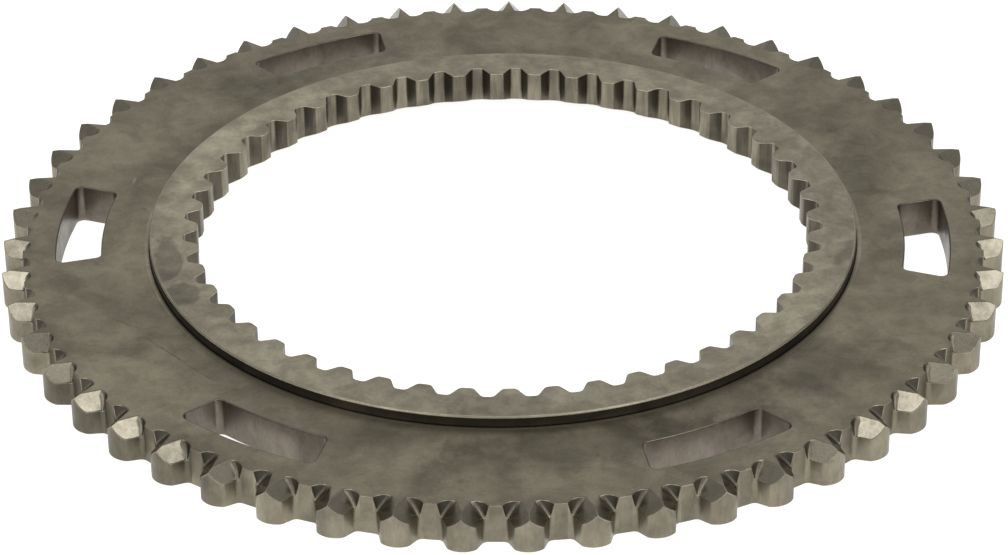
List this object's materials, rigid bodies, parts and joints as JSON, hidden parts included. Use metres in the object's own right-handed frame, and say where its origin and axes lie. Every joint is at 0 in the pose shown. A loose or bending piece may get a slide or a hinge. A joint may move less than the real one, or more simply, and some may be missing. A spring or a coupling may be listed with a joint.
{
  "type": "synchronizer ring",
  "caption": "Flat steel synchronizer ring with roof-pointed dog teeth round its rim, drive windows through the web and a raised collar with an inner spline.",
  "frame": {"origin": "centre of the ring's axis on the flat underside of the rim", "axes": "+Z along the ring's axis, from the flat underside to the collar; +X through a drive window, a dog tooth and a spline space"},
  "size_m": [0.1938, 0.194, 0.0102],
  "materials": {
    "ring_steel": "hardened steel, dull and mottled, with ground tooth faces"
  },
  "bodies": {
    "root": {"synchronizer_ring": "ring_steel"}
  },
  "joints": []
}
